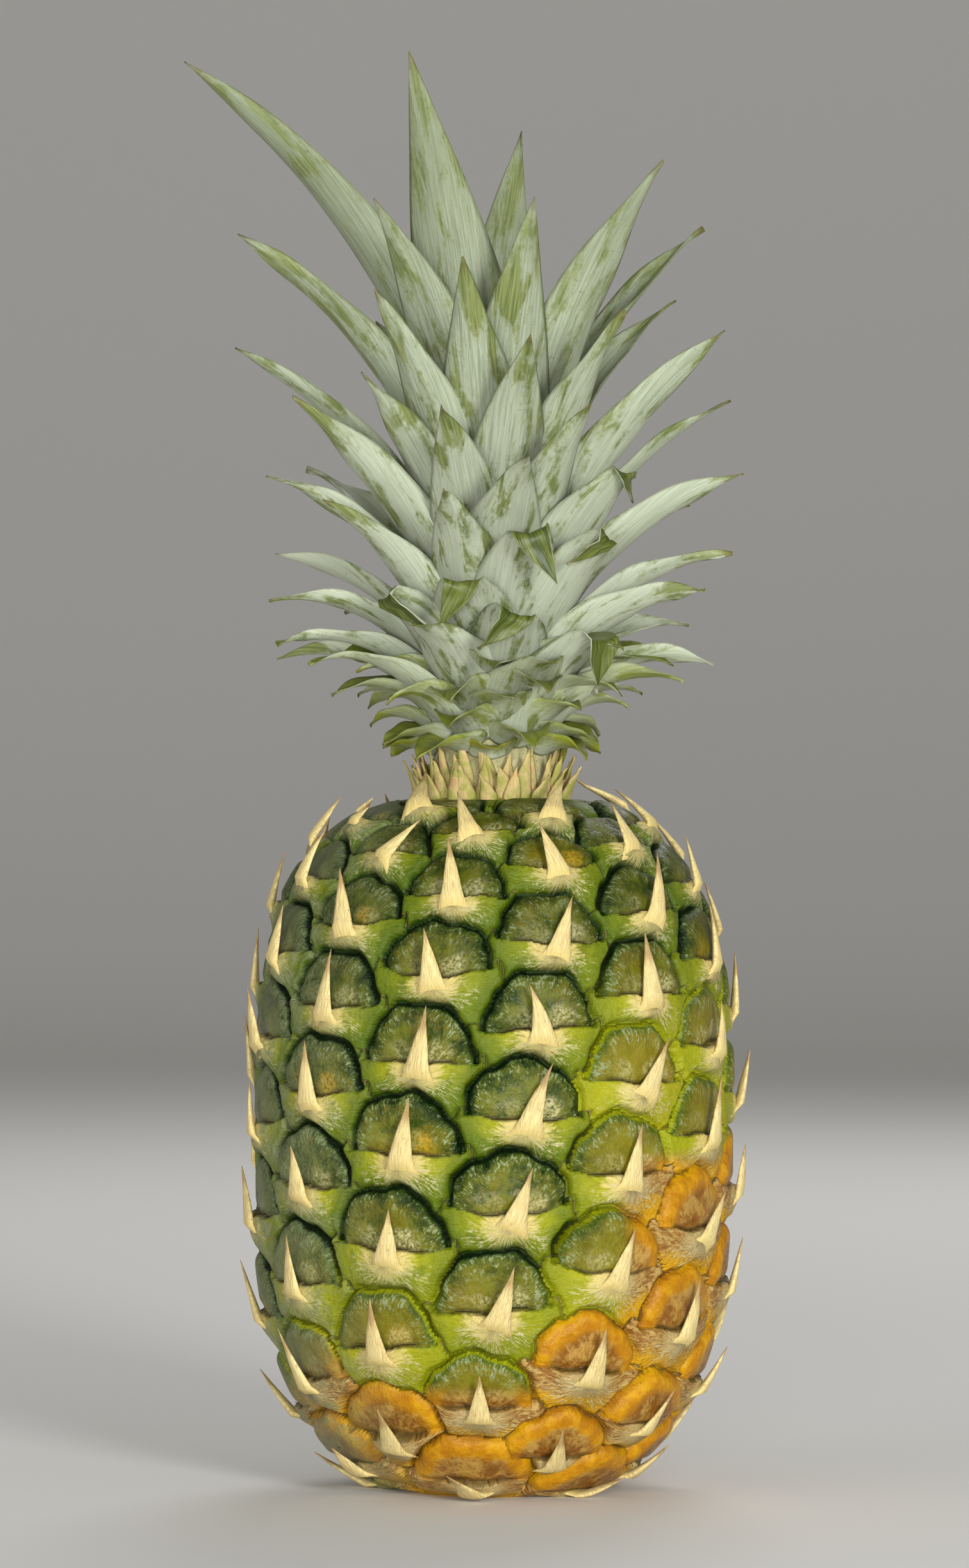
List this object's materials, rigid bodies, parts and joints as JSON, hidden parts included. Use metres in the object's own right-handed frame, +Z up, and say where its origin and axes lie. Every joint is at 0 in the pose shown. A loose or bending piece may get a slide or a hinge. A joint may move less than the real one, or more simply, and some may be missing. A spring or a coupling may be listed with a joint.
{
  "type": "pineapple",
  "caption": "Whole ripening pineapple standing on its cut base: a barrel of spined hexagonal eyes under a tall crown of grey-green pointed leaves",
  "frame": {"origin": "the middle of the flat spot that the fruit stands on", "axes": "+Z up along the fruit's axis and the crown, -Y the side that the reference view shows, +X its right"},
  "size_m": [0.1439, 0.1297, 0.3679],
  "materials": {
    "rind": "waxy dark green domes with a dusty bloom, ripening to orange low on the right, with dry cream spines",
    "leaf": "matt leaf with grey-green waxy scurf, fine lengthwise lines and rubbed olive patches",
    "bract": "dry, pale cream",
    "stem_tissue": "pale fibrous stem, hidden by the leaves"
  },
  "bodies": {
    "root": {"crown_leaf_01": "leaf", "crown_leaf_02": "leaf", "crown_leaf_03": "leaf", "crown_leaf_04": "leaf", "crown_leaf_05": "leaf", "crown_leaf_06": "leaf", "crown_leaf_07": "leaf", "crown_leaf_08": "leaf", "crown_leaf_09": "leaf", "crown_leaf_10": "leaf", "crown_leaf_11": "leaf", "crown_leaf_12": "leaf", "crown_leaf_13": "leaf", "crown_leaf_14": "leaf", "crown_leaf_15": "leaf", "crown_leaf_16": "leaf", "crown_leaf_17": "leaf", "crown_leaf_18": "leaf", "crown_leaf_19": "leaf", "crown_leaf_20": "leaf", "crown_leaf_21": "leaf", "crown_leaf_22": "leaf", "crown_leaf_23": "leaf", "crown_leaf_24": "leaf", "crown_leaf_25": "leaf", "crown_leaf_26": "leaf", "crown_leaf_27": "leaf", "crown_leaf_28": "leaf", "crown_leaf_29": "leaf", "crown_leaf_30": "leaf", "crown_leaf_31": "leaf", "crown_leaf_32": "leaf", "crown_leaf_33": "leaf", "crown_leaf_34": "leaf", "crown_leaf_35": "leaf", "crown_leaf_36": "leaf", "crown_leaf_37": "leaf", "crown_leaf_38": "leaf", "crown_leaf_39": "leaf", "crown_leaf_40": "leaf", "crown_leaf_41": "leaf", "crown_leaf_42": "leaf", "crown_leaf_43": "leaf", "crown_leaf_44": "leaf", "crown_leaf_45": "leaf", "crown_leaf_46": "leaf", "crown_leaf_47": "leaf", "crown_leaf_48": "leaf", "crown_leaf_49": "leaf", "crown_leaf_50": "leaf", "crown_leaf_51": "leaf", "crown_leaf_52": "leaf", "crown_leaf_53": "leaf", "crown_leaf_54": "leaf", "crown_stem": "stem_tissue", "fruit": "rind", "neck_bracts": "bract", "neck_whorl_1": "leaf", "neck_whorl_2": "leaf", "neck_whorl_3": "leaf"}
  },
  "joints": []
}
